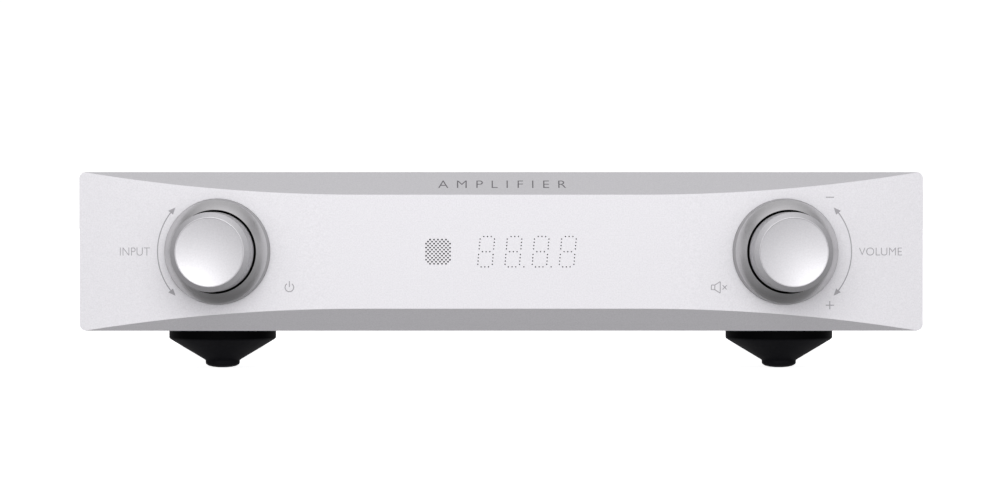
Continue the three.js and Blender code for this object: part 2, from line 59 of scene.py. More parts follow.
PANEL_LOW, PANEL_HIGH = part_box("front_panel")
AXIS_Z = (PANEL_LOW.z + PANEL_HIGH.z) / 2
FLAT = 39 * MM  # half width of the flat middle of the panel's face
BOW = 477 * MM  # radius of its curved sides
CHAMFER = 6.3 * MM  # the bevels along its top and bottom
CORNER = 1.8 * MM
EDGE = 0.22 * MM  # small rounding of machined edges
MARGIN = 1 * MM  # how far a cutting shape reaches beyond what it cuts

REAR_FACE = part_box("rear_panel")[1].y

# ---- materials

RAMP_SPAN = 20  # millimetres that a ramp along a length covers


class Nodes:
    """A node tree, with small helpers to add nodes and join them."""

    def __init__(self, tree):
        self.tree = tree

    def feed(self, socket, value):
        """Gives a socket a plain value or the output of another node."""
        if isinstance(value, bpy.types.NodeSocket):
            self.tree.links.new(value, socket)
        else:
            socket.default_value = value

    def node(self, kind, inputs, **values):
        node = self.tree.nodes.new(f"ShaderNode{kind}")
        for key, value in values.items():
            setattr(node, key, value)
        for socket, value in inputs.items():
            self.feed(node.inputs[socket], value)
        return node

    def ramp(self, value, stops):
        ramp = self.node("ValToRGB", {0: value})
        elements = ramp.color_ramp.elements
        while len(elements) < len(stops):
            elements.new(0.5)
        for element, (position, colour) in zip(elements, stops):
            element.position = position
            element.color = (*colour, 1)
        return ramp.outputs[0]

    def remap(self, value, ends):
        return self.node("MapRange", {"Value": value, **ends}).outputs[0]


def cleared(block):
    """The emptied nodes of a material or a world."""
    block.use_nodes = True
    block.node_tree.nodes.clear()
    return Nodes(block.node_tree)


class Look(Nodes):
    """A material of one shader, with small helpers for noise, bumps and mixed colours."""

    def __init__(self, name, colour, metallic, roughness):
        self.material = bpy.data.materials.new(name)
        self.material.use_nodes = True
        super().__init__(self.material.node_tree)
        self.shader = self.tree.nodes["Principled BSDF"]
        self.colour, self.roughness = (*colour, 1), roughness
        self.set("Base Color", self.colour).set("Metallic", metallic).set("Roughness", roughness)
        self.coordinates = self.node("TexCoord", {}).outputs["Object"]
        self.bump_chain = None

    def set(self, socket, value):
        self.feed(self.shader.inputs[socket], value)
        return self

    def texture(self, kind, scale, stretch):
        place = self.coordinates
        if stretch:
            place = self.node("Mapping", {"Vector": place, "Scale": stretch}).outputs[0]
        return self.node(kind, {"Vector": place, "Scale": scale})

    def noise(self, scale, detail=3, stretch=None):
        noise = self.texture("TexNoise", scale, stretch)
        noise.inputs["Detail"].default_value = detail
        return noise.outputs["Fac"]

    def cells(self, scale, stretch=None):
        return self.texture("TexVoronoi", scale, stretch).outputs["Distance"]

    def math(self, operation, value, number=0.0):
        return self.node("Math", {0: value, 1: number}, operation=operation).outputs[0]

    def radius(self):
        """Distance from the piece's own Z axis."""
        flat = self.node("VectorMath", {0: self.coordinates, 1: (1, 1, 0)}, operation="MULTIPLY")
        return self.node("VectorMath", {0: flat.outputs[0]}, operation="LENGTH").outputs["Value"]

    def upward(self, vector):
        return self.node("SeparateXYZ", {0: vector}).outputs["Z"]

    def height(self):
        """Height along the piece's own Z axis."""
        return self.upward(self.coordinates)

    def lean(self):
        """How far the surface faces up, from 0 straight down to 1 straight up."""
        return self.remap(self.upward(self.node("NewGeometry", {}).outputs["Normal"]), {"From Min": -1})

    def grey(self, value, stops):
        return self.ramp(value, [(position, (grey,) * 3) for position, grey in stops])

    def grey_along(self, length, stops):
        """Greys that follow a length, with stops in millimetres."""
        share = self.math("MULTIPLY", length, 1 / (RAMP_SPAN * MM))
        return self.grey(share, [(stop / RAMP_SPAN, grey) for stop, grey in stops])

    def shade(self, grey):
        """Multiplies the base colour by a grey."""
        base = self.shader.inputs["Base Color"]
        colour = base.links[0].from_socket if base.links else self.colour
        mix = self.node("Mix", {"Factor": 1, "A": colour, "B": grey}, data_type="RGBA", blend_type="MULTIPLY")
        return self.set("Base Color", mix.outputs["Result"])

    def tint(self, value, darker, lighter):
        """Varies the base colour between two shares of itself."""
        def shade(share):
            return [min(1, channel * share) for channel in self.colour[:3]]

        return self.set("Base Color", self.ramp(value, [(0.3, shade(darker)), (0.7, shade(lighter))]))

    def gloss(self, value, below, above):
        """Varies the roughness between so much below and above its own value."""
        ends = {"To Min": self.roughness - below, "To Max": self.roughness + above}
        return self.set("Roughness", self.remap(value, ends))

    def bump(self, value, height, strength):
        """Raises the surface by a height in millimetres, on top of any bump before."""
        bump = self.node("Bump", {"Height": value, "Distance": height * MM, "Strength": strength})
        if self.bump_chain:
            self.feed(bump.inputs["Normal"], self.bump_chain)
        self.bump_chain = bump.outputs[0]
        return self.set("Normal", self.bump_chain)


def blasted_metal(name, colour, roughness, metallic=0.92):
    """Bead-blasted and anodised: a fine even grain with the faintest clouding."""
    look = Look(name, colour, metallic, roughness)
    grain = look.noise(2600, detail=4)
    look.tint(grain, 0.965, 1.03).gloss(look.noise(900), 0.04, 0.05)
    return look.bump(look.cells(3200), 0.012, 0.35).bump(grain, 0.02, 0.3)


def turned_metal(name, colour, roughness, pitch=0.16):
    """Turned on a lathe, then anodised: concentric lines about the piece's own axis."""
    look = Look(name, colour, 1.0, roughness)
    lines = look.math("SINE", look.math("MULTIPLY", look.radius(), 2 * math.pi / (pitch * MM)))
    grain = look.noise(2400)
    look.tint(grain, 0.96, 1.04).gloss(look.noise(420), 0.03, 0.04)
    return look.bump(lines, 0.0012, 0.6).bump(grain, 0.01, 0.2)


def brushed_metal(name, colour, roughness):
    look = Look(name, colour, 1.0, roughness)
    streaks = look.noise(160, detail=5, stretch=(1, 30, 30))
    return look.tint(streaks, 0.9, 1.08).gloss(streaks, 0.08, 0.1).bump(streaks, 0.01, 0.4)


def plated_metal(name, colour, roughness):
    look = Look(name, colour, 1.0, roughness)
    clouds = look.noise(500)
    return look.tint(clouds, 0.9, 1.06).gloss(clouds, 0.06, 0.1).bump(look.noise(2200), 0.004, 0.3)


def moulded_plastic(name, colour, roughness, texture=1600, variation=0.18):
    look = Look(name, colour, 0.0, roughness)
    pores = look.noise(texture, detail=4)
    look.tint(pores, 1 - variation, 1 + variation).gloss(look.noise(300), 0.06, 0.08)
    return look.bump(pores, 0.02, 0.35)


def circuit_board(name):
    """Green lacquer over copper tracks, with a fine glass weave under it."""
    look = Look(name, (0.016, 0.105, 0.045), 0.0, 0.35)
    greens = [(0.0, (0.05, 0.24, 0.10)), (0.16, (0.016, 0.10, 0.045)), (1.0, (0.012, 0.075, 0.035))]
    look.set("Base Color", look.ramp(look.cells(260, stretch=(1, 0.35, 1)), greens))
    return look.gloss(look.noise(700), 0.1, 0.07).bump(look.cells(900), 0.01, 0.3)


def printed_ink(name, colour):
    look = Look(name, colour, 0.0, 0.55)
    speckle = look.noise(5200)
    return look.tint(speckle, 0.93, 1.07).bump(speckle, 0.004, 0.3)


def winding(name):
    """Lacquered copper wire wound round the core under clear tape."""
    look = Look(name, (0.42, 0.16, 0.05), 0.7, 0.3)
    strands = look.noise(700, stretch=(1, 1, 0.2))
    return look.tint(strands, 0.7, 1.25).bump(strands, 0.15, 0.6)


def knob_metal(name, colour, roughness):
    """Turned metal whose skirt is rougher than its bevel and face, with painted shade: the skirt is a quarter
    darker, and near black where it goes into the bezel.
    """
    look = turned_metal(name, colour, roughness, pitch=0.11)
    look.set("Roughness", look.grey_along(look.radius(), [(9.56, roughness), (9.68, 0.6)]))
    # Painted shade: the skirt is a quarter darker than the bevel and face.
    look.shade(look.grey_along(look.radius(), [(10.9, 1.0), (10.98, 0.74)]))
    # Painted shade: below the bezel's mouth the skirt is near black, as in the gap's shade.
    return look.shade(look.grey_along(look.height(), [(6.1, 0.12), (6.5, 1.0)]))


def bezel_metal(name, colour, roughness):
    """Turned metal with painted shade: a little darker towards its foot, and much darker on the wall under it, by
    the panel.
    """
    look = turned_metal(name, colour, roughness)
    # Painted shade on the outer slope and on the wall that stands on the panel.
    stops = [(12.6, 1.0), (14.0, 0.89), (14.29, 0.86), (14.41, 0.45)]
    return look.shade(look.grey_along(look.radius(), stops))


def panel_metal(name, colour, roughness):
    """Blasted metal with painted shade: surfaces that face up, such as the upper bevel, are painted darker than
    its face, and those that face down a little darker.
    """
    look = blasted_metal(name, colour, roughness)
    # Painted shade: the base colour follows which way the surface faces, darkest facing up.
    return look.shade(look.grey(look.lean(), [(0.16, 0.93), (0.35, 1.0), (0.65, 1.0), (0.84, 0.78)]))


def foot_rubber(name, colour):
    """Soft black rubber, with painted shade: the flange, which sits under the panel, is painted near black."""
    look = moulded_plastic(name, colour, 0.5, texture=900).set("Specular IOR Level", 0.05)
    # Painted shade: above 8.2 mm the rubber is ten times darker, as if in the panel's shadow.
    return look.shade(look.grey_along(look.height(), [(8.2, 1.0), (8.5, 0.1)]))


LOOKS = {
    "panel": panel_metal("blasted_panel", (0.915, 0.91, 0.925), 0.80),
    "case": blasted_metal("blasted_case", (0.66, 0.655, 0.67), 0.7, metallic=0.35),
    "bezel": bezel_metal("turned_bezel", (0.745, 0.74, 0.745), 0.32),
    "knob": knob_metal("turned_knob", (0.69, 0.685, 0.70), 0.44),
    "steel": brushed_metal("brushed_steel", (0.56, 0.57, 0.58), 0.32),
    "nickel": plated_metal("nickel_plate", (0.66, 0.65, 0.63), 0.22),
    "gold": plated_metal("gold_plate", (0.83, 0.60, 0.27), 0.22),
    "board": circuit_board("circuit_board"),
    "black": moulded_plastic("black_moulding", (0.018, 0.018, 0.02), 0.45),
    "satin_black": moulded_plastic("satin_black_moulding", (0.012, 0.012, 0.013), 0.3, texture=700),
    # A black with no sheen at all, for the cup that stands in for the shade in the gap round each knob: painted
    # shade.
    "gap_shade_cup": moulded_plastic("black_painted_shade", (0.006, 0.006, 0.006), 0.8).set("Specular IOR Level", 0.0),
    "red": moulded_plastic("red_moulding", (0.36, 0.012, 0.012), 0.28, variation=0.08),
    "white": moulded_plastic("white_moulding", (0.72, 0.72, 0.70), 0.35, variation=0.03),
    "window": moulded_plastic("smoked_window", (0.01, 0.01, 0.012), 0.12),
    "lens": moulded_plastic("light_pipe", (0.18, 0.18, 0.19), 0.4),
    "rubber": foot_rubber("foot_rubber", (0.009, 0.009, 0.011)),
    "winding": winding("copper_winding"),
    "sleeve": moulded_plastic("capacitor_sleeve", (0.02, 0.025, 0.04), 0.3),
    "ink": printed_ink("grey_print", (0.40, 0.39, 0.41)),
    "dark_ink": printed_ink("dark_print", (0.045, 0.045, 0.048)),
    "engraved": printed_ink("engraved_fill", (0.13, 0.125, 0.135)),
}

LOOK_OF_SLOT = {
    "anodised_aluminium": "case",
    "turned_aluminium": "bezel",
    "knob_aluminium": "knob",
    "steel": "steel",
    "gilt_brass": "gold",
    "circuit_board": "board",
    "black_plastic": "black",
    "red_plastic": "red",
    "smoked_window": "window",
    "foot_rubber": "rubber",
    "copper_winding": "winding",
    "capacitor_sleeve": "sleeve",
}


def dress_cad_nodes():
    for node, thing in frame["nodes"].items():
        thing.data.materials.clear()
        thing.data.materials.append(LOOKS[LOOK_OF_SLOT[SLOT_OF[node]]].material)


dress_cad_nodes()

# ---- camera, light and floor

CAMERA_AT = Vector((-6 * MM, PANEL_LOW.y - 1.2, 45 * MM))
CAMERA_AIM = Vector((-0.42 * MM, PANEL_LOW.y, AXIS_Z + 0.47 * MM))
CAMERA_LENS = 155.9
KEY_LIGHT = {"at": (-0.03, -0.55, 0.27), "size": (0.35, 0.2), "power": 0.6}
STAGE_RADIUS = 9


def aim(thing, target):
    direction = Vector(target) - thing.location
    thing.rotation_euler = direction.to_track_quat("-Z", "Y").to_euler()


def link(name, data):
    thing = bpy.data.objects.new(name, data)
    bpy.context.scene.collection.objects.link(thing)
    return thing


def make_camera():
    data = bpy.data.cameras.new("camera")
    data.lens = CAMERA_LENS
    data.sensor_width = 36
    data.clip_start = 0.01
    data.clip_end = 50
    camera = link("camera", data)
    camera.location = CAMERA_AT
    aim(camera, CAMERA_AIM)
    bpy.context.scene.camera = camera


# Brightness against how far a direction points to the front, and a share of it against how far it points up.
STUDIO_FRONT = (
    (-1, 0.60), (-0.6, 0.42), (-0.25, 0.26), (0, 0.27), (0.35, 0.46), (0.7, 0.86), (0.9, 1.13), (1, 1.27),
)
STUDIO_HEIGHT = ((-1, 0.43), (-0.75, 0.66), (-0.25, 0.74), (0, 0.95), (0.25, 1.04), (0.6, 0.85), (1, 2.2))
STUDIO_WHITE = (1.001, 0.996, 1.007)


def make_world():
    """A soft studio: brightest in front and a little above, dim to the sides, below and behind."""
    bpy.context.scene.world = bpy.data.worlds.new("studio")
    studio = cleared(bpy.context.scene.world)
    direction = studio.node("TexCoord", {}).outputs["Generated"]
    graded = []
    for towards, grades in (((0, -1, 0), STUDIO_FRONT), ((0, 0, 1), STUDIO_HEIGHT)):
        facing = studio.node("VectorMath", {0: direction, 1: towards}, operation="DOT_PRODUCT")
        share = studio.remap(facing.outputs["Value"], {"From Min": -1})
        stops = [((cosine + 1) / 2, [grade * white for white in STUDIO_WHITE]) for cosine, grade in grades]
        graded.append(studio.ramp(share, stops))
    product = studio.node("VectorMath", dict(enumerate(graded)), operation="MULTIPLY")
    background = studio.node("Background", {0: product.outputs[0]})
    studio.node("OutputWorld", {0: background.outputs[0]})


def set_the_stage(name, material):
    """Gives the object just made its name and material, and hides it from all rays but the camera's."""
    thing = bpy.context.object
    thing.name = name
    thing.data.materials.append(material)
    for ray in ("visible_diffuse", "visible_glossy", "visible_transmission", "visible_volume_scatter"):
        setattr(thing, ray, False)
    thing.visible_shadow = False


def make_stage():
    """A plain pale floor, and a plain white surround that doesn't light the object."""
    paint = Look("pale_floor", (0.9, 0.9, 0.9), 0, 0.9)
    paint.set("Emission Color", (1, 1, 1, 1)).set("Emission Strength", 0.9)
    bpy.ops.mesh.primitive_circle_add(vertices=96, radius=STAGE_RADIUS, fill_type="NGON")
    set_the_stage("floor", paint.material)
    white = bpy.data.materials.new("white_surround")
    glow = cleared(white)
    glow.node("OutputMaterial", {0: glow.node("Emission", {"Strength": 1.05}).outputs[0]})
    bpy.ops.mesh.primitive_uv_sphere_add(segments=48, ring_count=24, radius=STAGE_RADIUS)
    set_the_stage("surround", white)


def make_light():
    view = bpy.context.scene.view_settings
    view.view_transform = "Standard"
    view.look = "None"
    view.exposure = 0
    view.gamma = 1
    data = bpy.data.lights.new("key", "AREA")
    data.shape = "RECTANGLE"
    data.size, data.size_y = KEY_LIGHT["size"]
    data.energy = KEY_LIGHT["power"]
    light = link("key", data)
    light.location = KEY_LIGHT["at"]
    aim(light, (0, PANEL_LOW.y, AXIS_Z))


make_camera()
make_world()
make_stage()
make_light()

# ---- mesh tools

STOOD_IN_FOR = set()  # the frame's nodes that a piece already replaces


def mesh_object(name, vertices, faces):
    mesh = bpy.data.meshes.new(name)
    mesh.from_pydata([tuple(v) for v in vertices], [], faces)
    mesh.validate()
    return link(name, mesh)


def evaluated_mesh(thing):
    depsgraph = bpy.context.evaluated_depsgraph_get()
    return bpy.data.meshes.new_from_object(thing.evaluated_get(depsgraph))


def mesh_of_curve(curve):
    """The mesh that a curve or a line of text comes to."""
    source = link("curve_source", curve)
    bpy.context.view_layer.update()
    mesh = evaluated_mesh(source)
    bpy.data.objects.remove(source)
    return mesh


def bake(thing):
    """Turns a piece's modifiers into its mesh."""
    mesh = evaluated_mesh(thing)
    thing.modifiers.clear()
    thing.data = mesh
    return thing


def boolean(target, tool, operation="DIFFERENCE"):
    modifier = target.modifiers.new("cut", "BOOLEAN")
    modifier.operation = operation
    modifier.solver = "MANIFOLD"
    modifier.object = tool
    bake(target)
    bpy.data.objects.remove(tool)


def bevel(thing, width=EDGE, segments=2, angle=25):
    modifier = thing.modifiers.new("bevel", "BEVEL")
    modifier.width = width
    modifier.segments = segments
    modifier.limit_method = "ANGLE"
    modifier.angle_limit = math.radians(angle)
    return bake(thing)


def finish_piece(thing, look, slot, replaces=(), body="chassis"):
    """Shades a piece, gives it its look, and ties it to its body; the slot is not used."""
    thing.data.materials.clear()
    thing.data.materials.append(LOOKS[look].material)
    thing.data.polygons.foreach_set("use_smooth", [True] * len(thing.data.polygons))
    thing.data.set_sharp_from_angle(angle=math.radians(32))
    thing.modifiers.new("weighted", "WEIGHTED_NORMAL").keep_sharp = True
    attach(thing, body)
    if replaces:
        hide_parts(*replaces)
        STOOD_IN_FOR.update(replaces)


def prism(name, outline, axis, low, high):
    """A closed prism along X, Y or Z of a counter-clockwise outline in (y, z), (x, z) or (x, y)."""
    def corner(a, b, depth):
        return {"X": (depth, a, b), "Y": (a, depth, b), "Z": (a, b, depth)}[axis]

    count = len(outline)
    vertices = [corner(a, b, low) for a, b in outline] + [corner(a, b, high) for a, b in outline]
    faces = [tuple(reversed(range(count))), tuple(range(count, 2 * count))]
    faces += [(i, (i + 1) % count, count + (i + 1) % count, count + i) for i in range(count)]
    if axis == "Y":
        faces = [tuple(reversed(face)) for face in faces]
    return mesh_object(name, vertices, faces)


def block(name, xs, ys, zs):
    return prism(name, [(xs[0], ys[0]), (xs[1], ys[0]), (xs[1], ys[1]), (xs[0], ys[1])], "Z", *zs)


def arc(cx, cy, radius, start, end, steps):
    """Points of an arc, with angles in degrees."""
    angles = [math.radians(start + (end - start) * i / steps) for i in range(steps + 1)]
    return [(cx + radius * math.cos(a), cy + radius * math.sin(a)) for a in angles]


def circle(cx, cy, radius, steps):
    return arc(cx, cy, radius, 0, 360 - 360 / steps, steps - 1)


def rounded_rectangle(x0, x1, y0, y1, radius):
    left, right, bottom, top = x0 + radius, x1 - radius, y0 + radius, y1 - radius
    corners = ((right, bottom, -90), (right, top, 0), (left, top, 90), (left, bottom, 180))
    return [point for x, y, start in corners for point in arc(x, y, radius, start, start + 90, 8)]


def stadium(x, y0, y1, width):
    """The plan of a slot with round ends."""
    radius = width / 2
    return arc(x, y1 - radius, radius, 0, 180, 10) + arc(x, y0 + radius, radius, 180, 360, 10)


def spread(first, last, count):
    return [first + (last - first) * i / (count - 1) for i in range(count)]


def quadratic(start, control, end, steps):
    """Points of a quadratic curve from start to end."""
    weights = [((1 - t) ** 2, 2 * t * (1 - t), t ** 2) for t in spread(0, 1, steps + 1)]
    return [tuple(u * a + v * b + w * c for a, b, c in zip(start, control, end)) for u, v, w in weights]


def merged(name, things):
    """One object from several, without a boolean."""
    pile = bmesh.new()
    for thing in things:
        pile.from_mesh(thing.data)
        bpy.data.objects.remove(thing)
    mesh = bpy.data.meshes.new(name)
    pile.to_mesh(mesh)
    pile.free()
    return link(name, mesh)


def rounded_profile(profile, radius):
    """The closed profile with each corner off the axis rounded, by at most a third of its shorter side."""
    points = [Vector(p) for p in profile]
    result = []
    for i, here in enumerate(points):
        to_before, to_after = points[i - 1] - here, points[(i + 1) % len(points)] - here
        shorter = min(to_before.length, to_after.length)
        bend = to_before.angle(to_after)
        if here.x < TINY or bend > math.radians(172):
            result.append(tuple(here))
            continue
        reach = min(radius / math.tan(bend / 2), shorter / 3)
        start = here + to_before.normalized() * reach
        result += quadratic(start, here, here + to_after.normalized() * reach, 3)
    return result


def place(thing, centre, axis):
    """Stands a piece on a point, with its own Z axis along the given one."""
    turn = Vector((0, 0, 1)).rotation_difference(Vector(axis)).to_matrix().to_4x4()
    thing.matrix_world = Matrix.Translation(centre) @ turn
    return thing


def revolve(name, profile, segments, centre=(0, 0, 0), axis=(0, 0, 1)):
    """A closed solid of revolution about its own Z, from a profile of (radius, height) in millimetres."""
    count = len(profile)
    area = sum(profile[i - 1][0] * profile[i][1] - profile[i][0] * profile[i - 1][1] for i in range(count))
    if area < 0:
        profile = list(reversed(profile))
    vertices, rings = [], []
    for radius, height in profile:
        if radius < TINY:
            rings.append([len(vertices)] * segments)
            vertices.append((0, 0, height * MM))
        else:
            rings.append(list(range(len(vertices), len(vertices) + segments)))
            turn = [2 * math.pi * k / segments for k in range(segments)]
            vertices += [(radius * MM * math.cos(a), radius * MM * math.sin(a), height * MM) for a in turn]
    faces = []
    for i in range(count):
        lower, upper = rings[i], rings[(i + 1) % count]
        if lower[0] == lower[1] and upper[0] == upper[1]:
            continue
        for k in range(segments):
            n = (k + 1) % segments
            corners = [lower[k], lower[n], upper[n], upper[k]]
            faces.append(tuple(dict.fromkeys(corners)))
    return place(mesh_object(name, vertices, faces), centre, axis)


# ---- front panel


def face_y(x):
    """Where the panel's bowed face is, at a distance x from the middle."""
    beyond = max(0.0, abs(x) - FLAT)
    return PANEL_LOW.y + BOW - math.sqrt(BOW ** 2 - beyond ** 2)


def panel_plan():
    """The panel seen from above: the flat middle and the two curved sides."""
    half, back = PANEL_HIGH.x, PANEL_HIGH.y
    reach = spread(FLAT, half, 41)
    left = [(-x, face_y(x)) for x in reversed(reach)]
    right = [(x, face_y(x)) for x in reach]
    return left + right + [(half, back), (-half, back)]


def panel_section():
    """The panel seen from the side, with its two bevels."""
    front, back, bottom, top = PANEL_LOW.y, PANEL_HIGH.y, PANEL_LOW.z, PANEL_HIGH.z
    outline = [(front + CHAMFER, bottom), (back, bottom), (back, top), (front + CHAMFER, top)]
    return outline + [(front, top - CHAMFER), (front, bottom + CHAMFER)]


WEB_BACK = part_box("display_diffuser")[0].y - 0.3 * MM
WELL_FRONT = PANEL_LOW.y + 5.7 * MM  # the wells behind the knobs
RECEIVER_X, ROW_PITCH, COLUMN_PITCH = -17.6 * MM, 0.557 * MM, 1.105 * MM
RECEIVER_ROWS = (5, 6, 7, 6, 7, 6, 7, 6, 7, 6, 7, 6, 5)
DIGIT_CENTRES = [(-4.25 + 7.54 * i) * MM for i in range(4)]
DIGIT_HALF, DIGIT_TOP, DIGIT_SLANT = 2.01 * MM, 4.21 * MM, math.tan(math.radians(5.1))
SEAT = [(0, -0.6), (14.75, -0.6), (14.75, 2), (0, 2)]  # profiles cut into the face round each control's axis
BUSH_HOLE = [(0, -9), (4.6, -9), (4.6, 1), (0, 1)]


def receiver_holes():
    """The window of the remote receiver: staggered rows that fill a square with cut corners."""
    places = []
    for row, count in enumerate(RECEIVER_ROWS):
        z = AXIS_Z + (len(RECEIVER_ROWS) // 2 - row) * ROW_PITCH
        places += [(RECEIVER_X + (i - (count - 1) / 2) * COLUMN_PITCH, z) for i in range(count)]
    return places


def digit_holes():
    """Four slanted seven-segment digits, with points after the second and the third."""
    rows = [(x * MM, level * DIGIT_TOP) for level in (-1, 0, 1) for x in (-1.03, 0, 1.03)]
    heights = [sign * z * MM for sign in (-1, 1) for z in (0.78, 1.69, 2.60, 3.50)]
    holes = rows + [(side * DIGIT_HALF, z) for side in (-1, 1) for z in heights]
    places = [(centre + x + z * DIGIT_SLANT, AXIS_Z + z) for centre in DIGIT_CENTRES for x, z in holes]
    return places + [(centre + 2.92 * MM, AXIS_Z - DIGIT_TOP) for centre in DIGIT_CENTRES[1:3]]


def drills(name, places, radius, sides):
    front, back = PANEL_LOW.y - MARGIN, WEB_BACK + 0.5 * MM
    return merged(name, [prism("drill", circle(x, z, radius, sides), "Y", front, back) for x, z in places])


def control_axis(name):
    joint = JOINTS[f"{name}_turn"]
    return Vector(joint["pos_m"]), Vector(joint["axis"]).normalized()


def make_front_panel():
    half, bottom, top = PANEL_HIGH.x, PANEL_LOW.z, PANEL_HIGH.z
    front, back = PANEL_LOW.y - MARGIN, PANEL_HIGH.y
    panel = prism("front_panel_shell", rounded_rectangle(-half, half, bottom, top, CORNER), "Y", front, back)
    boolean(panel, prism("plan", panel_plan(), "Z", bottom - MARGIN, top + MARGIN), "INTERSECT")
    boolean(panel, prism("section", panel_section(), "X", -half - MARGIN, half + MARGIN), "INTERSECT")
    bevel(panel, EDGE, 3, 12)
    middle = (AXIS_Z - 10 * MM, AXIS_Z + 10 * MM)
    wells = [block("well", (-30 * MM, 30 * MM), (WEB_BACK, back + MARGIN), middle)]
    for name in ("input", "volume"):
        low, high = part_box(f"{name}_board")
        xs, zs = (low.x - MARGIN, high.x + MARGIN), (low.z - MARGIN, high.z + MARGIN)
        wells.append(block("well", xs, (WELL_FRONT, back + MARGIN), zs))
    boolean(panel, merged("wells", wells))
    for name in ("input", "volume"):
        for profile, segments in ((SEAT, 96), (BUSH_HOLE, 48)):
            tool = revolve("tool", profile, segments, *control_axis(name))
            tool.data.transform(tool.matrix_world)
            tool.matrix_world = Matrix.Identity(4)
            boolean(panel, tool)
    boolean(panel, drills("receiver_drills", receiver_holes(), 0.26 * MM, 10))
    boolean(panel, drills("digit_drills", digit_holes(), 0.2 * MM, 8))
    finish_piece(panel, "panel", "anodised_aluminium", ["front_panel"])


make_front_panel()

# ---- marks on the front, laid out in millimetres from the middle of the face

PRINT = 0.03  # how deep a mark reaches into its surface; it stands proud by half as much


def on_face(x, z, lift):
    """A point on the bowed face; lift is how far it stands proud."""
    return (x * MM, face_y(x * MM) - lift * MM, AXIS_Z + z * MM)


def on_top_bevel(x, z, lift):
    """A point on the upper bevel; z is measured up the slope from its middle."""
    slope = math.sqrt(0.5) * MM
    middle_y, middle_z = PANEL_LOW.y + CHAMFER / 2, PANEL_HIGH.z - CHAMFER / 2
    return (x * MM, middle_y + (z - lift) * slope, middle_z + (z + lift) * slope)


def on_rear(u, z, lift):
    """A point on the rear panel; u runs to the right as seen from behind."""
    return (-u * MM, REAR_FACE + lift * MM, AXIS_Z + z * MM)


def slab(outline, surface):
    """A thin plate of an outline in (x, z), laid on a surface."""
    count = len(outline)
    vertices = [surface(x, z, lift) for lift in (-PRINT, PRINT / 2) for x, z in outline]
    faces = [tuple(range(count)), tuple(reversed(range(count, 2 * count)))]
    faces += [(i, count + i, count + (i + 1) % count, (i + 1) % count) for i in range(count)]
    return mesh_object("slab", vertices, faces)


def stroke(points, width, surface=on_face):
    """Thin plates along a line of points, one for each stretch."""
    plates = []
    for (x0, z0), (x1, z1) in zip(points, points[1:]):
        along = Vector((x1 - x0, z1 - z0)).normalized()
        side = Vector((-along.y, along.x)) * width / 2
        ends = [(x0, z0, -1), (x1, z1, -1), (x1, z1, 1), (x0, z0, 1)]
        plates.append(slab([(x + side.x * s, z + side.y * s) for x, z, s in ends], surface))
    return plates


def mark(name, plates, look="ink"):
    finish_piece(merged(name, plates), look, "anodised_aluminium")


def lettering(name, words, centre, height, width, surface=on_face, weight=0.0, look="ink", spacing=1.0):
    """Plain sans capitals, fitted to a height and a width and laid on a surface."""
    curve = bpy.data.curves.new(name, "FONT")
    curve.body = words
    curve.align_x = "CENTER"
    curve.offset = weight
    curve.extrude = 0.01
    curve.space_character = spacing
    mesh = mesh_of_curve(curve)
    xs = [v.co.x for v in mesh.vertices]
    zs = [v.co.y for v in mesh.vertices]
    middle_x, middle_z = (min(xs) + max(xs)) / 2, (min(zs) + max(zs)) / 2
    scale_x, scale_z = width / (max(xs) - min(xs)), height / (max(zs) - min(zs))
    for vertex in mesh.vertices:
        x = centre[0] + (vertex.co.x - middle_x) * scale_x
        z = centre[1] + (vertex.co.y - middle_z) * scale_z
        vertex.co = surface(x, z, PRINT / 2 if vertex.co.z > 0 else -PRINT)
    tidy = bmesh.new()
    tidy.from_mesh(mesh)
    bmesh.ops.remove_doubles(tidy, verts=tidy.verts, dist=0.0001 * MM)
    bmesh.ops.recalc_face_normals(tidy, faces=tidy.faces)
    tidy.to_mesh(mesh)
    tidy.free()
    finish_piece(link(name, mesh), look, "anodised_aluminium")


def arrow_arc(side):
    """A turning arrow with a head at each end, outside a knob."""
    centre, radius, sweep, head = side * 78.8 + 0.9, 17.65, 39.5, 2.0
    middle = 0 if side > 0 else 180
    plates = stroke(arc(centre, 0, radius, middle - sweep, middle + sweep, 36), 0.3)
    for turn in (-1, 1):
        a = math.radians(middle + turn * sweep)
        out = Vector((math.cos(a), math.sin(a)))
        along = Vector((-out.y, out.x)) * turn
        base = Vector((centre, 0)) + out * radius
        tip = base + along * head * 0.72 - out * 0.12
        heel = base - along * head * 0.28
        corners = [tip, heel + out * 0.85, heel - out * 0.85]
        plates.append(slab(corners[::turn], on_face))
    return plates


def power_mark(x, z):
    ring = [(x + a, z + b) for a, b in arc(0, 0, 1.2, 125, 415, 24)]
    return stroke(ring, 0.27) + stroke([(x, z + 1.75), (x, z + 0.1)], 0.27)


def mute_mark(x, z):
    """A loudspeaker with a cross beside it."""
    outline = [(-2.2, -0.65), (-1.25, -0.65), (0.25, -1.6), (0.25, 1.6), (-1.25, 0.65), (-2.2, 0.65)]
    lines = [outline + outline[:1], [(-1.25, -0.65), (-1.25, 0.65)]]
    lines += [[(0.9, 0.6), (2.1, -0.6)], [(0.9, -0.6), (2.1, 0.6)]]
    return [plate for line in lines for plate in stroke([(x + a, z + b) for a, b in line], 0.24)]


